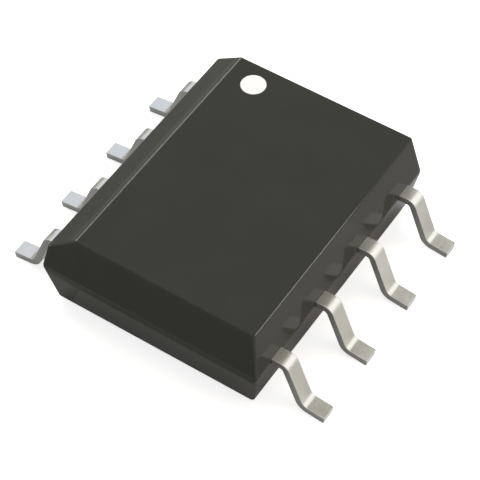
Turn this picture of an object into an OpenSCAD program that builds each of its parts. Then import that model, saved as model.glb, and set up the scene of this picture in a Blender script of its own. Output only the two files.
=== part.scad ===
// Operational amplifier in an 8-lead small-outline package: a moulded epoxy
// body on eight gull-wing leads, with the silicon die, its pad and its bond
// wires sealed inside. Millimetres, standing on its feet at z = 0, with the
// body's long axis along Y and leads 5 to 8 on the +X side.

/* [Body] */
// Length of the body at its parting plane, along Y
body_l = 4.96; // [4.1:0.02:6]
// Width of the body at its parting plane, along X
body_w = 4.0; // [3.3:0.02:4.8]
// Height of the top face above the seating plane
body_top = 1.75; // [1.45:0.01:2.1]
// Gap between the underside of the body and the seating plane
standoff = 0.07; // [0.05:0.01:0.25]
// Draft of the four side walls, in degrees
draft = 10; // [5:0.5:14]
// Radius of the four upright corners
corner_r = 0.05; // [0.03:0.01:0.1]
// Width of the pin 1 side bevel, measured on the top face
bevel_run = 0.44; // [0.25:0.01:0.5]
// Depth of the pin 1 side bevel below the top face
bevel_drop = 0.38; // [0.25:0.01:0.5]

/* [Pin 1 mark] */
// Radius of the printed dot
mark_r = 0.215; // [0.15:0.005:0.3]
// Depth of the shallow dimple that the ink fills flush
mark_t = 0.02; // [0.01:0.002:0.03]
// Distance from the bevel's upper edge to the centre of the dot
mark_inset = 0.51; // [0.35:0.01:0.7]
// Distance from the body's end to the centre of the dot
mark_end_inset = 0.575; // [0.45:0.005:0.8]

/* [Leads] */
// Distance between neighbouring leads
pitch = 1.27; // [1.1:0.01:1.5]
// Width of a lead
lead_w = 0.28; // [0.25:0.01:0.45]
// Thickness of the lead frame sheet
lead_t = 0.125; // [0.1:0.005:0.2]
// Height of the lead frame's middle plane, where the body parts
lead_z = 0.9; // [0.75:0.01:1]
// Reach of a lead from the body's side to its toe
lead_reach = 0.945; // [0.8:0.005:1.2]
// Length of a foot, from the corner of its bend to its toe
foot_l = 0.42; // [0.3:0.01:0.5]
// Slope of a foot, toe down, in degrees
foot_angle = 7; // [0:0.5:8]
// Slope of the riser between shoulder and foot, in degrees
riser_angle = 68.5; // [60:0.5:80]
// Inside radius of the bends
bend_r = 0.06; // [0.04:0.01:0.1]

/* [Lead frame inside the body] */
// Length of a lead inside the body
finger_l = 0.75; // [0.6:0.01:0.8]
// Length of the wide bonding tip at a lead's inner end
tip_l = 0.45; // [0.3:0.01:0.5]
// Width of the bonding tip
tip_w = 0.45; // [0.4:0.01:0.5]
// Gap between a bonding tip and the die pad
pad_gap = 0.2; // [0.15:0.01:0.3]
// Length of the die pad, along Y
pad_l = 2.6; // [2.1:0.05:2.7]
// Height of the leads above the die pad
downset = 0.2; // [0.1:0.01:0.25]
// Width of the link that joins the pad to lead 4
link_w = 0.35; // [0.25:0.01:0.45]
// Distance from the body's middle plane to the link's centre line
link_x = 0.6; // [0.4:0.01:0.65]
// Width of the tie bar at the pad's other end
tie_w = 0.3; // [0.2:0.01:0.4]

/* [Die and bond wires] */
// Width of the silicon die, along X
die_w = 1.1; // [0.9:0.05:1.3]
// Length of the silicon die, along Y
die_l = 1.3; // [1.1:0.05:1.7]
// Thickness of the silicon die
die_t = 0.25; // [0.15:0.01:0.3]
// Thickness of the die-attach adhesive
attach_t = 0.02; // [0.015:0.005:0.04]
// Overhang of the adhesive around the die
attach_rim = 0.03; // [0:0.01:0.06]
// Distance between neighbouring bond pads along the die's edge
bond_pitch = 0.3; // [0.2:0.01:0.35]
// Distance from the die's edge to its bond pads
bond_inset = 0.1; // [0.08:0.01:0.15]
// Diameter of a gold bond wire
wire_d = 0.025; // [0.02:0.001:0.035]
// Diameter of the ball that joins a wire to the die
ball_d = 0.07; // [0.05:0.005:0.08]
// Thickness of the squashed ball
ball_t = 0.02; // [0.015:0.001:0.025]
// Width of the stitch that joins a wire to its lead
stitch_w = 0.06; // [0.05:0.005:0.07]
// Thickness of the stitch
stitch_t = 0.01; // [0.008:0.001:0.015]
// Distance from a bonding tip's inner end to its stitch
stitch_inset = 0.15; // [0.1:0.01:0.2]
// Height of the wire loop above the die
loop_h = 0.15; // [0.1:0.01:0.2]
// Radius of the wire's knee above the die
knee_r = 0.04; // [0.03:0.005:0.05]

/* [Hidden] */

BODY_COLOR = [0.2, 0.2, 0.19];
INK_COLOR = [0.98, 0.98, 0.98];
TIN_COLOR = [0.76, 0.75, 0.71];
ADHESIVE_COLOR = [0.62, 0.62, 0.6];
SILICON_COLOR = [0.33, 0.36, 0.42];
GOLD_COLOR = [0.9, 0.7, 0.25];

// Leads on each long side
SIDE_LEADS = 4;
// Straight pieces that an arc in a bend is made of
BEND_STEPS = 12;
// Horizontal length of a down-set bend for each unit of its depth
DOWNSET_SLOPE = 1.5;
// How far the link and the tie bar run in over the pad
PAD_LAP = 0.1;
// Angle between a corner's round and the walls, so that they cross cleanly
CORNER_CROSSING = 5;
// How much thicker a wire is at its knee
KNEE_SWELL = 1.15;

body_h = body_top - standoff;
top_inset = (body_top - lead_z) * tan(draft);
bottom_inset = (lead_z - standoff) * tan(draft);
bevel_top_x = body_w / 2 - top_inset - bevel_run;
bevel_side_x = body_w / 2 - (body_top - bevel_drop - lead_z) * tan(draft);

// Corners of a lead's middle line: inner end, shoulder, heel and toe
toe = [body_w / 2 + lead_reach, lead_t / 2 * cos(foot_angle)];
heel = toe + foot_l * [-cos(foot_angle), sin(foot_angle)];
shoulder = [heel[0] - (lead_z - heel[1]) / tan(riser_angle), lead_z];
finger_end = [body_w / 2 - finger_l, lead_z];

pad_w = body_w - 2 * (finger_l + pad_gap);
pad_z = lead_z - downset;
attach_z = pad_z + lead_t / 2;
die_z = attach_z + attach_t;
die_top = die_z + die_t;
finger_top = lead_z + lead_t / 2;

downset_run = downset * DOWNSET_SLOPE;

// Which side a lead is on, and its place along that side in steps along +Y
// from the body's middle
function side(n) = n > SIDE_LEADS ? 1 : -1;
function place(n) = side(n) * (n - SIDE_LEADS - 0.5) - SIDE_LEADS / 2;
function lead_y(n) = place(n) * pitch;

// Lead 4's outer edge, where the link to the pad starts
link_start = lead_w / 2 - lead_y(4);

function unit(v) = v / norm(v);
function left(v) = [-v[1], v[0]];
function turn(a, b) = atan2(a[0] * b[1] - a[1] * b[0], a * b);

// Points beside corner i of a strip's middle line, at offset o to its left:
// the end's own point, or the bend's arc about its centre
function beside(path, i, o, t, r) =
  i == 0 ? [path[0] + left(unit(path[1] - path[0])) * o] :
  i == len(path) - 1 ? [path[i] + left(unit(path[i] - path[i - 1])) * o] :
  let (
    d0 = unit(path[i] - path[i - 1]),
    d1 = unit(path[i + 1] - path[i]),
    bend = turn(d0, d1),
    hand = sign(bend),
    mid_r = r + t / 2,
    centre = path[i] - d0 * mid_r * tan(abs(bend) / 2) + left(d0) * hand * mid_r,
    start = -left(d0) * hand
  )
  [for (k = [0 : BEND_STEPS])
    let (a = bend * k / BEND_STEPS)
    centre + (mid_r - hand * o)
      * [start[0] * cos(a) - start[1] * sin(a), start[0] * sin(a) + start[1] * cos(a)]];

// Side view of a bent strip of thickness t with inside bend radius r
module strip_outline(path, t, r) {
  left_edge = [for (i = [0 : len(path) - 1]) each beside(path, i, t / 2, t, r)];
  right_edge = [for (i = [0 : len(path) - 1]) each beside(path, i, -t / 2, t, r)];
  polygon(concat(left_edge, [for (k = [len(right_edge) - 1 : -1 : 0]) right_edge[k]]));
}

// A strip bent in the XZ plane, of width w along Y
module strip_along_x(path, w)
  rotate([90, 0, 0])
    linear_extrude(w, center = true) strip_outline(path, lead_t, bend_r);

// A strip bent in the YZ plane, of width w along X
module strip_along_y(path, w)
  rotate([90, 0, 90])
    linear_extrude(w, center = true) strip_outline(path, lead_t, bend_r);

// A rectangle of lead frame sheet between two corners in plan
module sheet(from, to, z)
  translate([from[0], from[1], z - lead_t / 2])
    cube([to[0] - from[0], to[1] - from[1], lead_t]);

// A gull-wing lead with its bonding tip, on the +X side at the given y; the
// tip widens towards the body's middle
module gull_wing(y) {
  inward = y < 0 ? 1 : -1;
  edge = y - inward * lead_w / 2;
  translate([0, y, 0]) strip_along_x([finger_end, shoulder, heel, toe], lead_w);
  sheet(
    [finger_end[0], min(edge, edge + inward * tip_w)],
    [finger_end[0] + tip_l, max(edge, edge + inward * tip_w)],
    lead_z
  );
}

module lead(n) color(TIN_COLOR)
  if (side(n) > 0) gull_wing(lead_y(n));
  else mirror([1, 0, 0]) gull_wing(lead_y(n));

// Lead 4 is one stamping with the die pad: an arm from its bonding tip, a
// down-set link to the pad, the pad, and the tie bar that ran to the frame
module lead_4_and_die_pad() {
  downset_end = pad_l / 2 + PAD_LAP / 2;
  lead(4);
  color(TIN_COLOR) {
    sheet([-finger_end[0] - tip_l, -link_start], [-link_x + link_w / 2, -link_start + lead_w], lead_z);
    translate([-link_x, 0, 0])
      strip_along_y([
        [-link_start, lead_z],
        [-downset_end - downset_run, lead_z],
        [-downset_end, pad_z],
        [-pad_l / 2 + PAD_LAP, pad_z]
      ], link_w);
    sheet([-pad_w / 2, -pad_l / 2], [pad_w / 2, pad_l / 2], pad_z);
    strip_along_y([
      [pad_l / 2 - PAD_LAP, pad_z],
      [downset_end, pad_z],
      [downset_end + downset_run, lead_z],
      [body_l / 2, lead_z]
    ], tie_w);
  }
}

// A block drafted up and down from the parting plane, of length l across a
// section that is w wide
module drafted_prism(w, l)
  rotate([90, 0, 0])
    linear_extrude(l, center = true)
      polygon([
        [-w / 2 + bottom_inset, standoff], [w / 2 - bottom_inset, standoff],
        [w / 2, lead_z],
        [w / 2 - top_inset, body_top], [-w / 2 + top_inset, body_top],
        [-w / 2, lead_z]
      ]);

// What the bevel takes off the pin 1 side's upper edge
module bevel_cut()
  rotate([90, 0, 0])
    linear_extrude(2 * body_l, center = true) {
      slope = unit([bevel_side_x - bevel_top_x, -bevel_drop]);
      high = [-bevel_top_x, body_top] + body_h * [slope[0], -slope[1]];
      low = [-bevel_side_x, body_top - bevel_drop] + body_h * [-slope[0], slope[1]];
      polygon([high, low, [low[0], high[1]]]);
    }

// What the round takes off one upright edge above the parting plane. The edge
// leans in with both walls, which meet there at a little over a right angle.
module corner_cut(rise) {
  lean = atan(sqrt(2) * tan(draft));
  overrun = rise / 4;
  half_angle = (180 - acos(sin(draft) * sin(draft))) / 2;
  depth = corner_r * cos(CORNER_CROSSING);
  centre = -depth / sin(half_angle);
  chord = -depth / tan(half_angle) * cos(half_angle);
  translate([body_w / 2, body_l / 2, lead_z])
    rotate([0, 0, 45])
      rotate([0, -lean, 0])
        translate([0, 0, -overrun])
          linear_extrude(rise + 2 * overrun)
            difference() {
              translate([chord, -2 * corner_r]) square(4 * corner_r);
              translate([centre, 0]) circle(corner_r, $fn = 48);
            }
}

module mould_block() {
  difference() {
    intersection() {
      drafted_prism(body_w, 2 * body_l);
      rotate([0, 0, 90]) drafted_prism(body_l, 2 * body_w);
    }
    bevel_cut();
    for (sx = [0, 1], sy = [0, 1])
      mirror([sx, 0, 0]) mirror([0, sy, 0]) {
        corner_cut(body_top - lead_z);
        translate([0, 0, 2 * lead_z]) mirror([0, 0, 1]) corner_cut(lead_z - standoff);
      }
  }
}

// The body is moulded round everything inside it, so its hollow is their
// shape, and the mark's ink fills a dimple in its top face
module body() color(BODY_COLOR)
  difference() {
    mould_block();
    for (n = [1, 2, 3, 5, 6, 7, 8]) lead(n);
    lead_4_and_die_pad();
    die_attach();
    die();
    for (n = [1 : 2 * SIDE_LEADS]) wire(n);
    pin_1_mark();
  }

module pin_1_mark() color(INK_COLOR)
  translate([-bevel_top_x + mark_inset, body_l / 2 - mark_end_inset, body_top - mark_t])
    cylinder(r = mark_r, h = mark_t, $fn = 96);

module die_attach() color(ADHESIVE_COLOR)
  translate([-die_w / 2 - attach_rim, -die_l / 2 - attach_rim, attach_z])
    cube([die_w + 2 * attach_rim, die_l + 2 * attach_rim, attach_t]);

module die() color(SILICON_COLOR)
  translate([-die_w / 2, -die_l / 2, die_z]) cube([die_w, die_l, die_t]);

// Places in plan where wire n meets the die and its lead's bonding tip
function die_bond(n) = [side(n) * (die_w / 2 - bond_inset), place(n) * bond_pitch];
function tip_bond(n) =
  let (y = lead_y(n), inward = y < 0 ? 1 : -1)
  [side(n) * (finger_end[0] + stitch_inset), y - inward * (lead_w - tip_w) / 2];

// A straight length of wire from one point to another, in the XZ plane
module wire_run(from, to) {
  d = to - from;
  translate([from[0], 0, from[1]])
    rotate([0, atan2(d[0], d[1]), 0])
      cylinder(d = wire_d, h = norm(d), $fn = 24);
}

// A bond wire of the given span, in the XZ plane: a squashed ball on the die,
// an upright neck, a knee, a straight slope, and a stitch pressed flat on the
// bonding tip. The knee is a little thicker than the wire, and each straight
// length ends inside what it joins.
module bond_wire(span) {
  corner = [0, die_top + loop_h];
  landing = [span, finger_top + stitch_t / 2];
  slope = unit(landing - corner);
  bend = turn([0, 1], slope);
  centre = [knee_r, corner[1] - knee_r * tan(abs(bend) / 2)];
  knee_start = [0, centre[1]];
  knee_end = corner + slope * (corner[1] - centre[1]);
  overlap = wire_d / 4;
  // Length of the wire's oval where the stitch's middle plane cuts it
  oval_l = -wire_d / slope[1];
  translate([0, 0, die_top]) cylinder(d = ball_d, h = ball_t, $fn = 48);
  wire_run([0, die_top + ball_t / 2], knee_start + [0, overlap]);
  translate([centre[0], 0, centre[1]])
    rotate([90, 0, 0])
      rotate([0, 0, 180 + bend])
        rotate_extrude(angle = -bend, $fn = 96)
          translate([knee_r, 0]) circle(d = wire_d * KNEE_SWELL, $fn = 24);
  difference() {
    wire_run(knee_end - slope * overlap, landing + slope * oval_l);
    translate([0, -stitch_w, landing[1] - body_h])
      cube([span + 2 * oval_l, 2 * stitch_w, body_h]);
  }
  translate([span - oval_l / 2 - 2 * wire_d, -stitch_w / 2, finger_top])
    cube([oval_l + 3 * wire_d, stitch_w, stitch_t]);
}

module wire(n) color(GOLD_COLOR) {
  from = die_bond(n);
  to = tip_bond(n);
  translate([from[0], from[1], 0])
    rotate([0, 0, atan2(to[1] - from[1], to[0] - from[0])])
      bond_wire(norm(to - from));
}

body();
pin_1_mark();
lead(1);  // lead_1
lead(2);  // lead_2
lead(3);  // lead_3
lead_4_and_die_pad();
lead(5);  // lead_5
lead(6);  // lead_6
lead(7);  // lead_7
lead(8);  // lead_8
die_attach();
die();
wire(1);  // wire_1
wire(2);  // wire_2
wire(3);  // wire_3
wire(4);  // wire_4
wire(5);  // wire_5
wire(6);  // wire_6
wire(7);  // wire_7
wire(8);  // wire_8
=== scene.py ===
"""Looks of an operational amplifier chip in an 8-lead small-outline package.

Laid out as a Blender add-on and run as a script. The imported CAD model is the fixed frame: the moulded
body, the pin 1 dot and the eight leads are made again here with their edges and finishes, and the die,
its adhesive and its bond wires are the CAD solids with materials.
"""

import math

import bmesh
import bpy
from bpy.props import FloatProperty, FloatVectorProperty, IntProperty, PointerProperty
from mathutils import Matrix, Vector


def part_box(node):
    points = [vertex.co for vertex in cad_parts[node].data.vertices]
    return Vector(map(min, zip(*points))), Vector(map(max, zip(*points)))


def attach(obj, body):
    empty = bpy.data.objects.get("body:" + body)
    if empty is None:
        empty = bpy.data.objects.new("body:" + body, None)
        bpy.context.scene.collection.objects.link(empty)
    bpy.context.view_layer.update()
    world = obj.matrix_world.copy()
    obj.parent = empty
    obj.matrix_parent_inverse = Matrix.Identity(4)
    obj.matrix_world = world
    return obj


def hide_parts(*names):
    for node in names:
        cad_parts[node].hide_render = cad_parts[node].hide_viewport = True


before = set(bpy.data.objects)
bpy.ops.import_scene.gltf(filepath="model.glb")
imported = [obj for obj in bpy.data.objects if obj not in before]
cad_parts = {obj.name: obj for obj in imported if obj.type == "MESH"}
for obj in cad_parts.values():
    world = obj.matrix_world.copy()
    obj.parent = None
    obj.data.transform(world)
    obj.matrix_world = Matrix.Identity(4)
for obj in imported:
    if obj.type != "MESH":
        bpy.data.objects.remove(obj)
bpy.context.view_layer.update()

bl_info = {
    "name": "Operational amplifier chip",
    "version": (1, 0, 0),
    "blender": (4, 5, 0),
    "location": "3D View > Sidebar > Chip",
    "description": "Builds the looks of an 8-lead small-outline amplifier chip",
    "category": "Add Mesh",
}

# Meshes are made in millimetres and scaled to metres at the end
MM = 0.001
# Straight sides in the circle of the dot and of its dimple
ROUND_STEPS = 96
# Millimetres within which two heights count as the same
NEAR = 1e-4
# Millimetres within which the vertices of a joined solid merge
WELD = 0.0005
# Folds in degrees: edges above the first are rounded, and edges above the second shade sharp
ROUNDED_FOLD = 15
SHARP_FOLD = 50
# The CAD node of each lead, by its number; the first four are on the bevelled side
SIDE_LEADS = 4
PAD_LEAD = 4
LEADS = {n: f"lead_{n}" for n in range(1, 2 * SIDE_LEADS + 1)}
LEADS[PAD_LEAD] = "lead_4_and_die_pad"


def box_mm(node):
    """Lowest and highest corner of a CAD node, in millimetres."""
    low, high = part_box(node)
    return low / MM, high / MM


BODY_LOW, BODY_HIGH = box_mm("body")
DOT_LOW, DOT_HIGH = box_mm("pin_1_mark")
LEAD_LOW, LEAD_HIGH = box_mm("lead_5")


# Sizes and colours


def length(name, description, default_mm, **limits):
    """A size property; the default is given in millimetres."""
    return FloatProperty(
        name=name,
        description=description,
        default=default_mm * MM,
        min=0.0,
        unit="LENGTH",
        precision=6,
        **limits,
    )


def angle(name, description, degrees):
    """An angle property; the default is given in degrees."""
    return FloatProperty(name=name, description=description, default=math.radians(degrees), subtype="ANGLE")


def colour(name, description, value):
    """A colour property in linear light."""
    return FloatVectorProperty(
        name=name,
        description=description,
        default=value,
        size=3,
        min=0.0,
        max=1.0,
        subtype="COLOR",
    )


def level(name, description, default, top=1.0):
    """A plain number from zero up to top."""
    return FloatProperty(name=name, description=description, default=default, min=0.0, max=top)


class ChipBodySettings(bpy.types.PropertyGroup):
    """Sizes and colour of the moulded body"""

    draft: angle("Draft", "Lean of the four side walls on each side of the parting plane", 10.0)
    parting_height: length("Parting height", "Height of the parting plane above the board", 0.9)
    bevel_run: length("Bevel width", "Width of the pin 1 side bevel on the top face", 0.44)
    bevel_drop: length("Bevel depth", "Depth of the pin 1 side bevel below the top face", 0.38)
    corner_radius: length("Corner radius", "Radius of the upright corners", 0.05)
    edge_radius: length("Edge radius", "Radius of the top, bottom and bevel edges", 0.035)
    parting_radius: length("Parting radius", "Radius of the crease along the parting plane", 0.05)
    dimple_rim: length("Dimple rim", "Radius of the rim of the dimple that holds the dot", 0.006)
    compound: colour("Compound", "Colour of the moulding compound", (0.0286, 0.0294, 0.0246))
    roughness: level("Roughness", "Roughness of the moulded surface", 0.06)
    refraction: FloatProperty(
        name="Refraction", description="Index of refraction of the surface", default=1.2, min=1.0
    )


class ChipDotSettings(bpy.types.PropertyGroup):
    """Shape and colour of the pin 1 dot"""

    rim_radius: length("Rim radius", "Round of the ink's rim", 0.006)
    ink: colour("Ink", "Colour of the printed ink", (0.97, 0.97, 0.97))


class ChipLeadSettings(bpy.types.PropertyGroup):
    """Sizes and colours of the lead frame"""

    width: length("Lead width", "Width of a lead outside the body", 0.28)
    foot_length: length("Foot length", "Length of a foot from the corner of its bend", 0.42)
    foot_angle: angle("Foot slope", "Slope of a foot, toe down", 7.0)
    riser_angle: angle("Riser slope", "Slope of the riser between shoulder and foot", 68.5)
    thickness: length("Sheet thickness", "Thickness of the lead frame sheet", 0.125)
    bend_radius: length("Bend radius", "Inside radius of the shoulder and of the pad's bends", 0.06)
    heel_radius: length("Heel radius", "Inside radius of the softer bend above the foot", 0.13)
    edge_radius: length("Edge radius", "Round that stamping leaves on the sheet's edges", 0.012)
    end_radius: length("End radius", "Round on the cut ends of the sheet", 0.008)
    tip_length: length("Bonding tip length", "Length of the wide inner end", 0.45)
    tip_width: length("Bonding tip width", "Width of the wide inner end", 0.45)
    pad_half_length: length("Pad half length", "Half the length of the die pad", 1.3)
    pad_half_width: length("Pad half width", "Half the width of the die pad", 1.05)
    downset: length("Down-set", "Height of the leads above the die pad", 0.2)
    link_place: length("Link place", "Distance from the middle plane to the link", 0.6)
    link_width: length("Link width", "Width of the link between lead 4 and the pad", 0.35)
    tie_width: length("Tie bar width", "Width of the tie bar at the pad's far end", 0.3)
    bend_steps: IntProperty(name="Bend steps", description="Straight pieces in one bend", default=16, min=4)
    plating: colour("Plating", "Colour of the tin plating", (0.655, 0.64, 0.592))
    # The stamped sides are duller in truth, and their colour is darkened further as painted shade
    cut_side_and_shade: colour("Cut side", "Colour of the stamped side faces", (0.372, 0.372, 0.367))
    # The toe faces are made lighter than the plating as a painted highlight
    toe_highlight: colour("Cut toe", "Colour of the freshly cut toe faces", (0.86, 0.85, 0.88))
    roughness: level("Roughness", "Roughness of the plating", 0.37)


class ChipInsideSettings(bpy.types.PropertyGroup):
    """Colours of the pieces sealed in the body"""

    silicon: colour("Silicon", "Colour of the die", (0.1, 0.12, 0.16))
    tracks: colour("Tracks", "Colour of the metal tracks on the die", (0.5, 0.5, 0.46))
    gold: colour("Gold", "Colour of the bond wires", (0.83, 0.55, 0.16))
    adhesive: colour("Adhesive", "Colour of the silver-filled die attach", (0.4, 0.4, 0.38))


class ChipStageSettings(bpy.types.PropertyGroup):
    """Floor, light and camera"""

    floor: colour("Floor", "Colour of the floor and backdrop", (0.8, 0.8, 0.8))
    surround: level("Surround", "Level of the light from all round", 0.43, 4.0)
    floor_glow: level("Floor glow", "How far the floor is lifted towards the white background", 0.72)
    floor_mirror: level("Floor in mirrors", "How far the floor is lifted where the chip mirrors it", 0.05)
    azimuth: angle("Azimuth", "Turn of the camera from the bare end of the body", 33.112)
    elevation: angle("Elevation", "Height of the camera above the horizon", 51.684)
    roll: angle("Roll", "Roll of the camera", 0.088)
    distance: length("Distance", "Distance from the camera to the body's middle", 30.257)
    slide_right: length("Slide right", "How far the camera stands to the right of the middle", 0.0724)
    slide_down: length("Slide down", "How far the camera stands below the middle", 0.3049)
    aim_height: length("Aim height", "Height of the point that the camera looks at", 0.8)
    lens: FloatProperty(name="Lens", description="Focal length in millimetres", default=141.866, min=10.0)


# Mesh helpers


def rounded_rectangle(low, high, half_height, radius, steps=3):
    """Points round a rectangle from low to high and from -half_height to half_height, corners rounded."""
    corners = (
        (high - radius, half_height - radius, 0.0),
        (low + radius, half_height - radius, 90.0),
        (low + radius, radius - half_height, 180.0),
        (high - radius, radius - half_height, 270.0),
    )
    points = []
    for centre_a, centre_b, start in corners:
        for step in range(steps + 1):
            turn = math.radians(start + 90.0 * step / steps)
            points.append((centre_a + radius * math.cos(turn), centre_b + radius * math.sin(turn)))
    return points


def bent_line(corners, radii, steps):
    """Points and directions along a line of straight lengths joined by arcs of those radii."""
    corners = [Vector(corner) for corner in corners]
    line = [(corners[0], (corners[1] - corners[0]).normalized())]
    for before, corner, after, radius in zip(corners, corners[1:], corners[2:], radii):
        into = (corner - before).normalized()
        away = (after - corner).normalized()
        bend = math.atan2(into.x * away.y - into.y * away.x, into.dot(away))
        hand = math.copysign(1.0, bend)
        inner = Vector((-into.y, into.x)) * hand
        centre = corner - into * radius * math.tan(abs(bend) / 2) + inner * radius
        for step in range(steps + 1):
            turn = Matrix.Rotation(bend * step / steps, 2)
            line.append((centre - turn @ inner * radius, turn @ into))
    line.append((corners[-1], (corners[-1] - corners[-2]).normalized()))
    return line


def rounded_ends(line, radius, steps=3):
    """The line with short steps at both ends, each with how much the section shrinks there."""

    def quarter(step):
        """Parts of the radius by which the section stands in from the end and shrinks."""
        turn = math.radians(90.0 * step / steps)
        return 1 - math.sin(turn), 1 - math.cos(turn)

    rings = []
    start, start_way = line[0]
    end, end_way = line[-1]
    for step in range(steps, -1, -1):
        inset, shrink = quarter(step)
        rings.append((start + start_way * radius * inset, start_way, radius * shrink))
    rings.extend((point, way, 0.0) for point, way in line[1:-1])
    for step in range(steps + 1):
        inset, shrink = quarter(step)
        rings.append((end - end_way * radius * inset, end_way, radius * shrink))
    return rings


def sweep_strip(rings, span, thickness, edge_radius, along_y=False):
    """A bmesh of a rounded rectangular section swept along a line in the XZ plane, or the YZ plane.

    span gives the section's lowest and highest place across the strip for a point of the line."""
    bm = bmesh.new()
    loops = []
    for point, way, shrink in rings:
        low, high = span(point)
        half = thickness / 2 - shrink
        normal = Vector((-way.y, way.x))
        section = rounded_rectangle(low + shrink, high - shrink, half, edge_radius - shrink)
        loop = []
        for across, up in section:
            place = point + normal * up
            position = (across, place.x, place.y) if along_y else (place.x, across, place.y)
            loop.append(bm.verts.new(position))
        loops.append(loop)
    count = len(loops[0])
    for loop, following in zip(loops, loops[1:]):
        for i in range(count):
            j = (i + 1) % count
            bm.faces.new((loop[i], loop[j], following[j], following[i]))
    bm.faces.new(list(reversed(loops[0])))
    bm.faces.new(loops[-1])
    return bm


def smooth_mesh(name, bm):
    """A smooth-shaded mesh of bm, with its faces turned outward. bm is freed."""
    bmesh.ops.recalc_face_normals(bm, faces=bm.faces)
    for face in bm.faces:
        face.smooth = True
    mesh = bpy.data.meshes.new(name)
    bm.to_mesh(mesh)
    bm.free()
    return mesh


def applied(thing):
    """The mesh of an object with its modifiers applied."""
    depsgraph = bpy.context.evaluated_depsgraph_get()
    return bpy.data.meshes.new_from_object(
        thing.evaluated_get(depsgraph), preserve_all_data_layers=True, depsgraph=depsgraph
    )


def add_object(name, mesh):
    """An object of that mesh, linked to the scene."""
    thing = bpy.data.objects.new(name, mesh)
    bpy.context.scene.collection.objects.link(thing)
    return thing


def combined(operation, base, *others):
    """A bmesh of the base solid with the other solids joined to it or cut from it."""
    things = [add_object("draft_solid", smooth_mesh("draft_solid", bm)) for bm in (base, *others)]
    for other in things[1:]:
        step = things[0].modifiers.new("Combine", "BOOLEAN")
        step.operation = operation
        step.solver = "MANIFOLD"
        step.object = other
    bpy.context.view_layer.update()
    mesh = applied(things[0])
    for thing in things:
        draft = thing.data
        bpy.data.objects.remove(thing)
        bpy.data.meshes.remove(draft)
    result = bmesh.new()
    result.from_mesh(mesh)
    bpy.data.meshes.remove(mesh)
    bmesh.ops.remove_doubles(result, verts=result.verts, dist=WELD)
    return result


def finish_piece(name, mesh, materials, nodes):
    """Weights a mesh's normals, scales it to metres and puts it in the place of its CAD nodes."""
    draft = add_object("draft_" + name, mesh)
    weighting = draft.modifiers.new("Weighting", "WEIGHTED_NORMAL")
    weighting.mode = "FACE_AREA"
    weighting.weight = 50
    weighting.thresh = 0.0001
    weighting.keep_sharp = True
    bpy.context.view_layer.update()
    final = applied(draft)
    bpy.data.objects.remove(draft)
    bpy.data.meshes.remove(mesh)
    final.name = name
    final.transform(Matrix.Scale(MM, 4))
    for material in materials:
        final.materials.append(material)
    piece = add_object(name, final)
    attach(piece, "root")
    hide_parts(*nodes)


# Material helpers


def new_material(name):
    """A node material, its node tree and its Principled shader."""
    material = bpy.data.materials.new(name)
    material.use_nodes = True
    shader = material.node_tree.nodes["Principled BSDF"]
    return material, material.node_tree, shader


def add_node(tree, kind, **values):
    """A node of that kind with its properties set."""
    node = tree.nodes.new(kind)
    for key, value in values.items():
        setattr(node, key, value)
    return node


def math_node(tree, operation, first, second):
    """A Math node; each operand is a number or a socket."""
    node = add_node(tree, "ShaderNodeMath", operation=operation)
    for socket, value in zip(node.inputs, (first, second)):
        if isinstance(value, (int, float)):
            socket.default_value = value
        else:
            tree.links.new(value, socket)
    return node.outputs[0]


def group_socket(group, name, kind, direction, default=None):
    """Gives a node group a named socket."""
    socket = group.interface.new_socket(name=name, in_out=direction, socket_type=kind)
    if default is not None:
        socket.default_value = default


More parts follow.
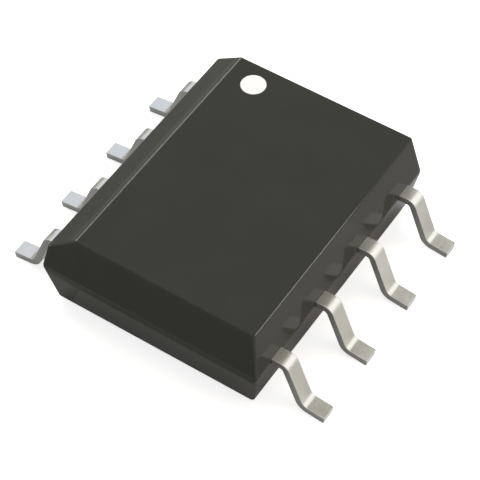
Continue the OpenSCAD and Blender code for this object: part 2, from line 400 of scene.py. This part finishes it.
def grain_group():
    """The node group for fine surface grain: shade, roughness and height that vary over a surface.

    Grain size is in metres. Stretch draws the grain out along the part's X axis. Patches many times as
    wide lie over the grain."""
    name = "Fine grain"
    patch_ratio = 24.0
    if name in bpy.data.node_groups:
        return bpy.data.node_groups[name]
    group = bpy.data.node_groups.new(name, "ShaderNodeTree")
    group_socket(group, "Colour", "NodeSocketColor", "INPUT", (0.5, 0.5, 0.5, 1.0))
    group_socket(group, "Roughness", "NodeSocketFloat", "INPUT", 0.4)
    group_socket(group, "Grain size", "NodeSocketFloat", "INPUT", 0.00003)
    group_socket(group, "Stretch", "NodeSocketFloat", "INPUT", 1.0)
    group_socket(group, "Shade variation", "NodeSocketFloat", "INPUT", 0.1)
    group_socket(group, "Roughness variation", "NodeSocketFloat", "INPUT", 0.05)
    group_socket(group, "Colour", "NodeSocketColor", "OUTPUT")
    group_socket(group, "Roughness", "NodeSocketFloat", "OUTPUT")
    group_socket(group, "Height", "NodeSocketFloat", "OUTPUT")
    inlet = add_node(group, "NodeGroupInput")
    outlet = add_node(group, "NodeGroupOutput")
    place = add_node(group, "ShaderNodeTexCoord")
    parts = add_node(group, "ShaderNodeSeparateXYZ")
    group.links.new(place.outputs["Object"], parts.inputs[0])
    drawn = math_node(group, "DIVIDE", parts.outputs["X"], inlet.outputs["Stretch"])
    joined = add_node(group, "ShaderNodeCombineXYZ")
    group.links.new(drawn, joined.inputs["X"])
    group.links.new(parts.outputs["Y"], joined.inputs["Y"])
    group.links.new(parts.outputs["Z"], joined.inputs["Z"])
    pitch = math_node(group, "DIVIDE", 1.0, inlet.outputs["Grain size"])
    grain = add_node(group, "ShaderNodeTexNoise")
    grain.inputs["Detail"].default_value = 4.0
    grain.inputs["Roughness"].default_value = 0.6
    group.links.new(joined.outputs[0], grain.inputs["Vector"])
    group.links.new(pitch, grain.inputs["Scale"])
    patches = add_node(group, "ShaderNodeTexNoise")
    patches.inputs["Detail"].default_value = 3.0
    group.links.new(place.outputs["Object"], patches.inputs["Vector"])
    group.links.new(math_node(group, "DIVIDE", pitch, patch_ratio), patches.inputs["Scale"])
    spread = math_node(group, "ADD", grain.outputs["Fac"], patches.outputs["Fac"])
    centred = math_node(group, "SUBTRACT", spread, 1.0)
    shade = math_node(group, "MULTIPLY", centred, inlet.outputs["Shade variation"])
    lift = math_node(group, "ADD", shade, 1.0)
    tint = add_node(group, "ShaderNodeVectorMath", operation="SCALE")
    group.links.new(inlet.outputs["Colour"], tint.inputs[0])
    group.links.new(lift, tint.inputs["Scale"])
    rough = math_node(group, "MULTIPLY", centred, inlet.outputs["Roughness variation"])
    group.links.new(tint.outputs[0], outlet.inputs["Colour"])
    roughness = math_node(group, "ADD", inlet.outputs["Roughness"], rough)
    group.links.new(roughness, outlet.inputs["Roughness"])
    group.links.new(grain.outputs["Fac"], outlet.inputs["Height"])
    return group


def add_grain(tree, shader, tone, roughness, size, depth, shade, rough, stretch=1.0):
    """Puts fine grain on a shader: its colour, its roughness and a bump.

    size and depth are in metres; shade and rough are how far the colour and the roughness vary."""
    grain = add_node(tree, "ShaderNodeGroup", node_tree=grain_group())
    grain.inputs["Colour"].default_value = (*tone, 1.0)
    grain.inputs["Roughness"].default_value = roughness
    grain.inputs["Grain size"].default_value = size
    grain.inputs["Stretch"].default_value = stretch
    grain.inputs["Shade variation"].default_value = shade
    grain.inputs["Roughness variation"].default_value = rough
    bump = add_node(tree, "ShaderNodeBump")
    bump.inputs["Strength"].default_value = 0.5
    bump.inputs["Distance"].default_value = depth
    tree.links.new(grain.outputs["Colour"], shader.inputs["Base Color"])
    tree.links.new(grain.outputs["Roughness"], shader.inputs["Roughness"])
    tree.links.new(grain.outputs["Height"], bump.inputs["Height"])
    tree.links.new(bump.outputs["Normal"], shader.inputs["Normal"])
    return grain


def compound_material(settings):
    """Charcoal moulding compound, satin from the mould, with the filler's fine grain."""
    material, tree, shader = new_material("moulding_compound")
    shader.inputs["IOR"].default_value = settings.refraction
    add_grain(
        tree,
        shader,
        settings.compound,
        roughness=settings.roughness,
        size=28e-6,
        depth=1e-7,
        shade=0.2,
        rough=0.05,
    )
    return material


def ink_material(settings):
    """Matt white ink."""
    material, tree, shader = new_material("white_ink")
    add_grain(tree, shader, settings.ink, roughness=0.6, size=20e-6, depth=6e-7, shade=0.04, rough=0.1)
    return material


def plating_material(settings):
    """Satin tin plating, drawn out a little along the sheet."""
    material, tree, shader = new_material("tin_plating")
    shader.inputs["Metallic"].default_value = 1.0
    add_grain(
        tree,
        shader,
        settings.plating,
        roughness=settings.roughness,
        size=30e-6,
        depth=12e-7,
        shade=0.3,
        rough=0.3,
        stretch=1.5,
    )
    return material


def side_and_shade_material(settings):
    """The stamped side faces of the sheet, duller and rougher than its faces, and darkened further as
    painted shade.
    """
    material, tree, shader = new_material("stamped_side_and_shade")
    shader.inputs["Metallic"].default_value = 1.0
    add_grain(
        tree, shader, settings.cut_side_and_shade, roughness=0.5, size=25e-6, depth=1e-6, shade=0.35, rough=0.2
    )
    return material


def toe_highlight_material(settings):
    """The toe faces where the leads were cut off the strip, brighter than the plating as a painted
    highlight.
    """
    material, tree, shader = new_material("toe_highlight")
    shader.inputs["Metallic"].default_value = 1.0
    add_grain(
        tree, shader, settings.toe_highlight, roughness=0.35, size=12e-6, depth=1e-6, shade=0.2, rough=0.2
    )
    return material


def silicon_material(settings):
    """Polished silicon, with square cells in two shades and metal tracks on its upper face."""
    cells_per_metre = 9000.0
    lighter = 1.6
    material, tree, shader = new_material("silicon")
    place = add_node(tree, "ShaderNodeTexCoord")
    cells = add_node(tree, "ShaderNodeTexBrick", offset=0.0)
    cells.inputs["Scale"].default_value = cells_per_metre
    cells.inputs["Mortar Size"].default_value = 0.04
    cells.inputs["Color1"].default_value = (*settings.silicon, 1.0)
    cells.inputs["Color2"].default_value = (*(part * lighter for part in settings.silicon), 1.0)
    cells.inputs["Mortar"].default_value = (*settings.tracks, 1.0)
    tree.links.new(place.outputs["Object"], cells.inputs["Vector"])
    facing = add_node(tree, "ShaderNodeNewGeometry")
    parts = add_node(tree, "ShaderNodeSeparateXYZ")
    tree.links.new(facing.outputs["Normal"], parts.inputs[0])
    upward = math_node(tree, "GREATER_THAN", parts.outputs["Z"], 0.5)
    mix = add_node(tree, "ShaderNodeMix", data_type="RGBA")
    sockets = [socket for socket in mix.inputs if socket.name in ("A", "B") and socket.type == "RGBA"]
    sockets[0].default_value = (*settings.silicon, 1.0)
    tree.links.new(upward, mix.inputs[0])
    tree.links.new(cells.outputs["Color"], sockets[1])
    result = next(socket for socket in mix.outputs if socket.type == "RGBA")
    tree.links.new(result, shader.inputs["Base Color"])
    tracks = math_node(tree, "MULTIPLY", cells.outputs["Fac"], upward)
    tree.links.new(tracks, shader.inputs["Metallic"])
    shader.inputs["Roughness"].default_value = 0.18
    return material


def gold_material(settings):
    """Bright drawn gold."""
    material, tree, shader = new_material("gold_wire")
    shader.inputs["Metallic"].default_value = 1.0
    add_grain(tree, shader, settings.gold, roughness=0.2, size=4e-6, depth=1e-7, shade=0.08, rough=0.1)
    return material


def adhesive_material(settings):
    """Silver-filled epoxy with its flakes."""
    material, tree, shader = new_material("silver_epoxy")
    grain = add_grain(
        tree, shader, settings.adhesive, roughness=0.5, size=12e-6, depth=1e-6, shade=0.5, rough=0.3
    )
    flakes = math_node(tree, "GREATER_THAN", grain.outputs["Height"], 0.55)
    tree.links.new(flakes, shader.inputs["Metallic"])
    return material


# Pieces


def body_block(settings):
    """The moulded block with sharp edges, drafted both ways from its parting plane, with its bevel."""
    half = (BODY_HIGH - BODY_LOW) / 2
    top, bottom = BODY_HIGH.z, BODY_LOW.z
    parting = settings.parting_height / MM
    run, drop = settings.bevel_run / MM, settings.bevel_drop / MM
    lean = math.tan(settings.draft)

    def inset(height):
        return abs(height - parting) * lean

    def corner(sx, sy, height, x=None):
        reach = half.x - inset(height) if x is None else x
        return bm.verts.new((sx * reach, sy * (half.y - inset(height)), height))

    bm = bmesh.new()
    low = top - drop
    a1, a2 = corner(1, -1, top), corner(1, 1, top)
    ridge = half.x - inset(top) - run
    a3, a4 = corner(-1, 1, top, ridge), corner(-1, -1, top, ridge)
    b3, b4 = corner(-1, 1, low), corner(-1, -1, low)
    p1, p2, p3, p4 = (corner(*way, parting) for way in ((1, -1), (1, 1), (-1, 1), (-1, -1)))
    q1, q2, q3, q4 = (corner(*way, bottom) for way in ((1, -1), (1, 1), (-1, 1), (-1, -1)))
    faces = (
        (a1, a2, a3, a4),
        (a4, a3, b3, b4),
        (a1, p1, p2, a2),
        (a2, p2, p3, b3, a3),
        (b3, p3, p4, b4),
        (b4, p4, p1, a1, a4),
        (p1, q1, q2, p2),
        (p2, q2, q3, p3),
        (p3, q3, q4, p4),
        (p4, q4, q1, p1),
        (q4, q3, q2, q1),
    )
    for face in faces:
        bm.faces.new(face)
    bmesh.ops.recalc_face_normals(bm, faces=bm.faces)
    return bm


def round_edges(bm, edges, radius, segments):
    """Rounds these edges to that radius."""
    bmesh.ops.bevel(
        bm,
        geom=list(edges),
        offset=radius,
        offset_type="OFFSET",
        segments=segments,
        profile=0.5,
        affect="EDGES",
        clamp_overlap=False,
    )


def fold(edge):
    """Angle in degrees between the two faces of an edge."""
    return math.degrees(edge.calc_face_angle(0.0))


def make_body(settings):
    """The moulded body: the block with its corners, edges and parting crease rounded and its dimple cut."""
    bm = body_block(settings)
    parting = settings.parting_height / MM

    def level_edge(edge):
        return abs(edge.verts[0].co.z - edge.verts[1].co.z) < NEAR

    def on_parting(edge):
        return all(abs(vert.co.z - parting) < NEAR for vert in edge.verts)

    def at_bevel(edge):
        return edge.verts[0].co.x < 0 and max(vert.co.z for vert in edge.verts) > BODY_HIGH.z - NEAR

    upright = [edge for edge in bm.edges if not level_edge(edge) and not at_bevel(edge)]
    round_edges(bm, upright, settings.corner_radius / MM, segments=8)
    sharp = [edge for edge in bm.edges if fold(edge) > ROUNDED_FOLD and not on_parting(edge)]
    round_edges(bm, sharp, settings.edge_radius / MM, segments=4)
    crease = [edge for edge in bm.edges if on_parting(edge)]
    round_edges(bm, crease, settings.parting_radius / MM, segments=4)
    centre = (DOT_LOW + DOT_HIGH) / 2
    radius = (DOT_HIGH.x - DOT_LOW.x) / 2
    # The cutter stands on the dimple's floor and reaches far above the top face
    height = 1.0
    cutter = bmesh.new()
    bmesh.ops.create_cone(
        cutter,
        cap_ends=True,
        segments=ROUND_STEPS,
        radius1=radius,
        radius2=radius,
        depth=height,
        matrix=Matrix.Translation((centre.x, centre.y, DOT_LOW.z + height / 2)),
    )
    bm = combined("DIFFERENCE", bm, cutter)

    def on_rim(edge):
        return all(
            abs(vert.co.z - BODY_HIGH.z) < NEAR
            and abs(math.hypot(vert.co.x - centre.x, vert.co.y - centre.y) - radius) < 10 * NEAR
            for vert in edge.verts
        )

    rim = [edge for edge in bm.edges if on_rim(edge)]
    round_edges(bm, rim, settings.dimple_rim / MM, segments=2)
    for edge in bm.edges:
        if fold(edge) > SHARP_FOLD:
            edge.smooth = False
    return smooth_mesh("moulded_body", bm)


def make_dot(settings):
    """A disc of ink that fills the dimple, with its rim rounded."""
    centre = (DOT_LOW + DOT_HIGH) / 2
    radius = (DOT_HIGH.x - DOT_LOW.x) / 2
    rim = settings.rim_radius / MM
    rim_steps = 4
    profile = [(radius, DOT_LOW.z)]
    for step in range(rim_steps + 1):
        turn = math.radians(90.0 * step / rim_steps)
        profile.append((radius - rim + rim * math.cos(turn), DOT_HIGH.z - rim + rim * math.sin(turn)))
    bm = bmesh.new()
    rings = []
    for reach, height in profile:
        ring = []
        for i in range(ROUND_STEPS):
            turn = math.radians(360.0 * i / ROUND_STEPS)
            position = (centre.x + reach * math.cos(turn), centre.y + reach * math.sin(turn), height)
            ring.append(bm.verts.new(position))
        rings.append(ring)
    for ring, following in zip(rings, rings[1:]):
        for i in range(ROUND_STEPS):
            j = (i + 1) % ROUND_STEPS
            bm.faces.new((ring[i], ring[j], following[j], following[i]))
    bm.faces.new(rings[-1])
    bm.faces.new(list(reversed(rings[0])))
    return smooth_mesh("pin_1_dot", bm)


def lead_corners(settings):
    """Corners of a lead's middle line in the XZ plane, for the +X side."""
    half = settings.thickness / MM / 2
    slope = settings.foot_angle
    toe = Vector((LEAD_HIGH.x - half * math.sin(slope), half * math.cos(slope)))
    heel = toe + settings.foot_length / MM * Vector((-math.cos(slope), math.sin(slope)))
    shoulder_z = LEAD_HIGH.z - half
    rise = shoulder_z - heel.y
    shoulder = Vector((heel.x - rise / math.tan(settings.riser_angle), shoulder_z))
    return [Vector((LEAD_LOW.x, shoulder_z)), shoulder, heel, toe]


def lead_place(settings, number):
    """Side of a lead, +1 or -1, and its middle across the row, in millimetres."""
    first_low, _ = box_mm(LEADS[SIDE_LEADS + 1])
    _, last_high = box_mm(LEADS[2 * SIDE_LEADS])
    pitch = (last_high.y - first_low.y - settings.width / MM) / (SIDE_LEADS - 1)
    side = 1 if number > SIDE_LEADS else -1
    step = side * (number - SIDE_LEADS - 0.5) - SIDE_LEADS / 2
    return side, step * pitch


def sweep_lead(settings, number):
    """A bmesh of one gull-wing lead with its wide bonding tip."""
    side, middle = lead_place(settings, number)
    thickness = settings.thickness / MM
    half_width = settings.width / MM / 2
    inward = 1 if middle < 0 else -1
    corners = lead_corners(settings)
    tip_end = corners[0].x + settings.tip_length / MM
    radii = [inside / MM + thickness / 2 for inside in (settings.bend_radius, settings.heel_radius)]
    line = bent_line(corners, radii, settings.bend_steps)
    way = line[0][1]
    height = corners[0].y
    # The strip narrows between two places close to the end of the wide tip
    step = 0.01
    line[1:1] = [
        (Vector((tip_end - step, height)), way),
        (Vector((tip_end + step, height)), way),
        (Vector((tip_end + 2 * step, height)), way),
    ]
    extra = settings.tip_width / MM - 2 * half_width

    def span(point):
        wide = extra if point.x < tip_end else 0.0
        edge = middle - inward * half_width
        other = middle + inward * (half_width + wide)
        return min(edge, other), max(edge, other)

    rings = rounded_ends(line, settings.end_radius / MM)
    bm = sweep_strip(rings, span, thickness, settings.edge_radius / MM)
    for vert in bm.verts:
        vert.co.x *= side
    return bm


def straight_strip(settings, start, end, height, low, high):
    """A bmesh of a flat length of sheet along X, from start to end, between two places along Y."""
    along = Vector((1.0, 0.0))
    line = [(Vector((start, height)), along), (Vector((end, height)), along)]
    rings = rounded_ends(line, settings.end_radius / MM)
    return sweep_strip(rings, lambda point: (low, high), settings.thickness / MM, settings.edge_radius / MM)


def formed_strip(settings, corners, low, high):
    """A bmesh of a bent length of sheet along Y, between two places along X."""
    thickness = settings.thickness / MM
    radius = settings.bend_radius / MM + thickness / 2
    line = bent_line(corners, [radius, radius], settings.bend_steps)
    rings = rounded_ends(line, settings.end_radius / MM)
    edge_radius = settings.edge_radius / MM
    return sweep_strip(rings, lambda point: (low, high), thickness, edge_radius, along_y=True)


def sweep_pad(settings):
    """The solids of the die pad, its link to lead 4 and its tie bar."""
    thickness = settings.thickness / MM
    sheet_z = LEAD_HIGH.z - thickness / 2
    pad_z = sheet_z - settings.downset / MM
    half_l = settings.pad_half_length / MM
    half_w = settings.pad_half_width / MM
    link = -settings.link_place / MM
    link_half = settings.link_width / MM / 2
    tie_half = settings.tie_width / MM / 2
    _, middle = lead_place(settings, PAD_LEAD)
    outer = middle - settings.width / MM / 2
    # Along Y: the length of a slope, the place of its foot, and how far its strip laps over the pad
    slope = 1.5 * settings.downset / MM
    down = half_l + 0.05
    lap = 0.1
    tip_x = -LEAD_LOW.x - settings.tip_length / MM
    run = straight_strip(settings, tip_x, link + link_half, sheet_z, outer, outer + settings.width / MM)
    pad = straight_strip(settings, -half_w, half_w, pad_z, -half_l, half_l)
    corners = [(outer, sheet_z), (-down - slope, sheet_z), (-down, pad_z), (-half_l + lap, pad_z)]
    link_strip = formed_strip(settings, corners, link - link_half, link + link_half)
    corners = [(half_l - lap, pad_z), (down, pad_z), (down + slope, sheet_z), (BODY_HIGH.y, sheet_z)]
    tie_bar = formed_strip(settings, corners, -tie_half, tie_half)
    return run, pad, link_strip, tie_bar


def make_lead(settings, number):
    """One lead, with the die pad on lead 4. Its side faces take the second material and its toe the third.

    The tie bar's end, which shows in the body's far end, keeps the first."""
    bm = sweep_lead(settings, number)
    if number == PAD_LEAD:
        bm = combined("UNION", bm, *sweep_pad(settings))
    bmesh.ops.recalc_face_normals(bm, faces=bm.faces)
    sideways, endways = 0.8, 0.9
    tie_end = BODY_HIGH.y - 0.05
    toe = LEAD_HIGH.x - 0.02
    for face in bm.faces:
        middle = face.calc_center_median()
        if abs(face.normal.y) > sideways and abs(middle.y) < tie_end:
            face.material_index = 1
        if abs(face.normal.x) > endways and abs(middle.x) > toe:
            face.material_index = 2
    return smooth_mesh(f"lead_{number}_formed", bm)


# Stage

# Metres from a lamp to the point that it faces, and from there down to the floor
LAMP_DISTANCE = 0.12
LAMP_AIM = 0.001
NEUTRAL = (1.0, 1.0, 1.0)


def background_ray(tree, seen_level=1.0, mirrored_level=1.0):
    """A socket with one level for camera rays, one for glossy and transmission rays, and 0 for the rest."""
    path = add_node(tree, "ShaderNodeLightPath")
    mirrored = math_node(tree, "MAXIMUM", path.outputs["Is Glossy Ray"], path.outputs["Is Transmission Ray"])
    seen = math_node(tree, "MULTIPLY", path.outputs["Is Camera Ray"], seen_level)
    return math_node(tree, "MAXIMUM", seen, math_node(tree, "MULTIPLY", mirrored, mirrored_level))


def make_world(settings):
    """A white surround for what is seen and mirrored, and a plain grey light from all round."""
    world = bpy.data.worlds.new("surround")
    bpy.context.scene.world = world
    world.use_nodes = True
    tree = world.node_tree
    tree.nodes.clear()
    light = add_node(tree, "ShaderNodeBackground")
    light.inputs["Color"].default_value = (*NEUTRAL, 1.0)
    light.inputs["Strength"].default_value = settings.surround
    white = add_node(tree, "ShaderNodeBackground")
    white.inputs["Color"].default_value = (*NEUTRAL, 1.0)
    white.inputs["Strength"].default_value = 1.0
    mix = add_node(tree, "ShaderNodeMixShader")
    outlet = add_node(tree, "ShaderNodeOutputWorld")
    tree.links.new(background_ray(tree), mix.inputs[0])
    tree.links.new(light.outputs[0], mix.inputs[1])
    tree.links.new(white.outputs[0], mix.inputs[2])
    tree.links.new(mix.outputs[0], outlet.inputs["Surface"])


def floor_material(settings):
    """White matt floor that meets the background and keeps the chip's soft shadow."""
    material = bpy.data.materials.new("floor")
    material.use_nodes = True
    tree = material.node_tree
    tree.nodes.clear()
    matt = add_node(tree, "ShaderNodeBsdfDiffuse")
    matt.inputs["Color"].default_value = (*settings.floor, 1.0)
    glow = add_node(tree, "ShaderNodeEmission")
    glow.inputs["Color"].default_value = (*NEUTRAL, 1.0)
    lift = background_ray(tree, settings.floor_glow, settings.floor_mirror)
    tree.links.new(lift, glow.inputs["Strength"])
    both = add_node(tree, "ShaderNodeAddShader")
    outlet = add_node(tree, "ShaderNodeOutputMaterial")
    tree.links.new(matt.outputs[0], both.inputs[0])
    tree.links.new(glow.outputs[0], both.inputs[1])
    tree.links.new(both.outputs[0], outlet.inputs["Surface"])
    return material


def make_floor(settings):
    """The floor, at the height of the leads' soles."""
    bm = bmesh.new()
    bmesh.ops.create_grid(bm, x_segments=8, y_segments=8, size=1.0)
    mesh = bpy.data.meshes.new("floor")
    bm.to_mesh(mesh)
    bm.free()
    mesh.materials.append(floor_material(settings))
    floor = add_object("floor", mesh)


def linked_to(name, *things):
    """A collection of those pieces for a lamp that lights them alone."""
    collection = bpy.data.collections.new(name)
    for thing in things:
        collection.objects.link(bpy.data.objects[thing])
    return collection


def add_lamp(name, direction, size, radiance, tint=NEUTRAL, distance=LAMP_DISTANCE, mirrored=True, lit=None):
    """A rectangular area lamp that faces the chip, with its first side level.

    That side leans towards Y, or towards X for a lamp mostly before or behind the chip. radiance is its
    brightness as a mirror would show it, and lit is the collection that it lights alone."""
    lamp = bpy.data.lights.new(name, "AREA")
    lamp.shape = "RECTANGLE"
    lamp.size, lamp.size_y = size
    lamp.energy = radiance * math.pi * size[0] * size[1]
    lamp.color = tint
    thing = bpy.data.objects.new(name, lamp)
    bpy.context.scene.collection.objects.link(thing)
    way = Vector(direction).normalized()
    before_or_behind = abs(way.y) > 0.7
    level_way = Vector((1.0, 0.0, 0.0)) if before_or_behind else Vector((0.0, 1.0, 0.0))
    side = (level_way - way * level_way.dot(way)).normalized()
    turned = Matrix((side, way.cross(side), way)).transposed().to_4x4()
    thing.matrix_world = Matrix.Translation(way * distance + Vector((0.0, 0.0, LAMP_AIM))) @ turned
    thing.visible_camera = False
    thing.visible_glossy = mirrored
    if lit is not None:
        thing.light_linking.receiver_collection = lit


def add_card(name, place, way, size, shade):
    """A card that faces that way. The chip mirrors it, and the camera and the lamps don't see it."""
    bm = bmesh.new()
    bmesh.ops.create_grid(bm, x_segments=2, y_segments=2, size=0.5)
    mesh = bpy.data.meshes.new(name)
    bm.to_mesh(mesh)
    bm.free()
    material, _, shader = new_material("card")
    shader.inputs["Base Color"].default_value = (*shade, 1.0)
    shader.inputs["Roughness"].default_value = 0.9
    mesh.materials.append(material)
    card = add_object(name, mesh)
    card.location = place
    card.rotation_euler = Vector(way).to_track_quat("Z", "Y").to_euler()
    card.scale = (size[0], size[1], 1.0)
    card.visible_camera = False
    card.visible_shadow = False
    card.visible_diffuse = False


def add_floor_card(name, low, high, shade, height=0.02):
    """A card on the floor, between two corners in plan. Corners and height are in millimetres."""
    place = ((low[0] + high[0]) / 2 * MM, (low[1] + high[1]) / 2 * MM, height * MM)
    size = ((high[0] - low[0]) * MM, (high[1] - low[1]) * MM)
    add_card(name, place, (0.0, 0.0, 1.0), size, shade)


def add_lamps():
    """Soft lamps for the levels of the faces, and strips for the body's rounded edges."""
    body = linked_to("body_light", "moulded_body")
    left_leads = linked_to("left_light", *(f"lead_{n}_formed" for n in range(1, SIDE_LEADS + 1)))
    square = (0.05, 0.05)
    long = (0.12, 0.03)
    cold = (0.94, 0.97, 1.0)
    warm = (1.0, 0.95, 0.82)
    orange = (1.0, 0.72, 0.4)
    rose = (1.0, 0.82, 0.74)
    blue = (0.08, 0.34, 0.95)
    add_lamp("back_softbox", (-0.56, 0.63, 0.5), (0.12, 0.12), 2.9, cold, mirrored=False)
    add_lamp("top_softbox", (-0.15, 0.2, 0.97), square, 2.7, warm, mirrored=False)
    add_lamp("right_fill", (0.8, 0.2, 0.56), (0.06, 0.06), 1.8, orange, mirrored=False)
    add_lamp("side_fill", (0.98, 0.1, 0.14), long, 6.5, rose, mirrored=False, lit=body)
    add_lamp("front_fill", (0.1, -0.98, 0.14), long, 5.2, mirrored=False, lit=body)
    add_lamp("left_softbox", (-0.54, 0.51, 0.67), square, 0.55, blue, lit=left_leads)
    add_lamp("key", (0.64, 0.53, 0.56), (0.05, 0.11), 0.8)
    # The body's rounded edges mirror these as thin bright lines
    add_lamp("right_strip", (0.74, 0.51, 0.43), (0.016, 0.09), 14.5, distance=0.13, lit=body)
    add_lamp("left_strip", (-0.7, 0.52, 0.49), (0.03, 0.06), 8.0, lit=body)
    add_lamp("end_strip", (-0.97, -0.2, 0.025), (0.05, 0.006), 20.0, lit=body)


def add_cards():
    """Cards seen only in reflections, which the faces mirror in place of the white surround as painted
    reflections, and darker cards on the floor near the body as painted shadow in the mirrored floor.
    """
    sideways = (1.0, 0.0, 0.0)
    # Painted reflections: dark, grey and warm cards that the faces and the leads mirror
    add_card("front_card", (-0.041, -0.094, 0.062), (-0.34, -0.785, 0.52), (0.09, 0.06), (0.02, 0.02, 0.02))
    add_card("top_card", (-0.006, 0.046, 0.09), (-0.05, 0.46, 0.9), (0.042, 0.034), (0.32, 0.29, 0.2))
    add_card("left_card", (-0.0045, 0.00185, 0.0006), sideways, (0.007, 0.001), (0.68, 0.68, 0.67))
    add_card("ridge_card", (-0.012, 0.006, 0.0027), sideways, (0.013, 0.0054), (0.36, 0.36, 0.35))
    # Painted shadow: darker cards on the floor that the body's faces and the leads' sides mirror as shaded
    # floor
    add_floor_card("side_shade_board", (1.5, -2.3), (2.1, 3.1), (0.7, 0.7, 0.7))
    add_floor_card("far_shade_board", (2.5, 1.8), (3.9, 4.2), (0.64, 0.64, 0.64))
    add_floor_card("end_shade_board", (-2.75, -2.85), (-1.95, -2.35), (0.53, 0.53, 0.52))
    add_floor_card("corner_shade_board", (-1.95, -2.85), (-1.61, -2.35), (0.64, 0.64, 0.62))
    add_floor_card("crease_shade_board", (-2.9, -3.02), (2.3, -2.58), (0.33, 0.33, 0.31), height=0.03)
    add_floor_card("front_shade_board", (-4.8, -6.1), (3.2, -3.3), (0.2, 0.2, 0.18), height=0.03)


def make_camera(settings):
    """The camera, above the near corner of the chip."""
    turn, rise, roll = settings.azimuth, settings.elevation, settings.roll
    back = Vector((math.sin(turn) * math.cos(rise), -math.cos(turn) * math.cos(rise), math.sin(rise)))
    level_right = Vector((math.cos(turn), math.sin(turn), 0.0))
    level_up = back.cross(level_right)
    right = level_right * math.cos(roll) + level_up * math.sin(roll)
    up = level_up * math.cos(roll) - level_right * math.sin(roll)
    data = bpy.data.cameras.new("camera")
    data.lens = settings.lens
    data.sensor_width = 36.0
    data.clip_start = 0.001
    data.clip_end = 5.0
    camera = bpy.data.objects.new("camera", data)
    bpy.context.scene.collection.objects.link(camera)
    aim = Vector((0.0, 0.0, settings.aim_height))
    place = aim + back * settings.distance + right * settings.slide_right - up * settings.slide_down
    turned = Matrix((right, up, back)).transposed().to_4x4()
    camera.matrix_world = Matrix.Translation(place) @ turned
    bpy.context.scene.camera = camera


# Operators


class CHIP_OT_mould_body(bpy.types.Operator):
    """Mould the epoxy body with its draft, bevel, rounded edges and dimple"""

    bl_idname = "chip.mould_body"
    bl_label = "Mould body"

    def execute(self, context):
        settings = context.scene.chip_body
        material = compound_material(settings)
        finish_piece("moulded_body", make_body(settings), [material], ["body"])
        return {"FINISHED"}


class CHIP_OT_print_dot(bpy.types.Operator):
    """Print the white dot beside pin 1"""

    bl_idname = "chip.print_dot"
    bl_label = "Print dot"

    def execute(self, context):
        settings = context.scene.chip_dot
        finish_piece("pin_1_dot", make_dot(settings), [ink_material(settings)], ["pin_1_mark"])
        return {"FINISHED"}


class CHIP_OT_form_leads(bpy.types.Operator):
    """Form the eight leads and the die pad from stamped, plated sheet"""

    bl_idname = "chip.form_leads"
    bl_label = "Form leads"

    def execute(self, context):
        settings = context.scene.chip_leads
        materials = [plating_material(settings), side_and_shade_material(settings), toe_highlight_material(settings)]
        for number, node in LEADS.items():
            finish_piece(f"lead_{number}_formed", make_lead(settings, number), materials, [node])
        return {"FINISHED"}


class CHIP_OT_finish_inside(bpy.types.Operator):
    """Give the die, its adhesive and the bond wires their materials"""

    bl_idname = "chip.finish_inside"
    bl_label = "Finish inner pieces"

    def execute(self, context):
        settings = context.scene.chip_inside
        gold = gold_material(settings)
        finishes = {"die": silicon_material(settings), "die_attach": adhesive_material(settings)}
        finishes.update({f"wire_{number}": gold for number in LEADS})
        for node, material in finishes.items():
            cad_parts[node].material_slots[0].material = material
        return {"FINISHED"}


class CHIP_OT_light_stage(bpy.types.Operator):
    """Set the floor, the surround, the lamps, the cards and the camera"""

    bl_idname = "chip.light_stage"
    bl_label = "Light stage"

    def execute(self, context):
        settings = context.scene.chip_stage
        context.scene.view_settings.view_transform = "Standard"
        make_world(settings)
        make_floor(settings)
        add_lamps()
        add_cards()
        make_camera(settings)
        return {"FINISHED"}


class CHIP_PT_sidebar(bpy.types.Panel):
    """Sizes, colours and steps of the chip"""

    bl_idname = "CHIP_PT_sidebar"
    bl_label = "Chip"
    bl_space_type = "VIEW_3D"
    bl_region_type = "UI"
    bl_category = "Chip"

    def draw(self, context):
        for name, group, operators in SECTIONS:
            settings = getattr(context.scene, name)
            column = self.layout.column(align=True)
            column.label(text=group.bl_rna.description)
            for key in group.__annotations__:
                column.prop(settings, key)
            for operator in operators:
                column.operator(operator.bl_idname)


SECTIONS = (
    ("chip_body", ChipBodySettings, (CHIP_OT_mould_body,)),
    ("chip_dot", ChipDotSettings, (CHIP_OT_print_dot,)),
    ("chip_leads", ChipLeadSettings, (CHIP_OT_form_leads,)),
    ("chip_inside", ChipInsideSettings, (CHIP_OT_finish_inside,)),
    ("chip_stage", ChipStageSettings, (CHIP_OT_light_stage,)),
)


def register():
    """Registers the settings, the operators and the sidebar."""
    for name, group, operators in SECTIONS:
        bpy.utils.register_class(group)
        setattr(bpy.types.Scene, name, PointerProperty(type=group))
        for operator in operators:
            bpy.utils.register_class(operator)
    bpy.utils.register_class(CHIP_PT_sidebar)


def unregister():
    """Takes the settings, the operators and the sidebar away again."""
    bpy.utils.unregister_class(CHIP_PT_sidebar)
    for name, group, operators in reversed(SECTIONS):
        for operator in operators:
            bpy.utils.unregister_class(operator)
        delattr(bpy.types.Scene, name)
        bpy.utils.unregister_class(group)


def main():
    """Makes the chip and its stage."""
    register()
    bpy.ops.chip.mould_body()
    bpy.ops.chip.print_dot()
    bpy.ops.chip.form_leads()
    bpy.ops.chip.finish_inside()
    bpy.ops.chip.light_stage()


if __name__ == "__main__":
    main()
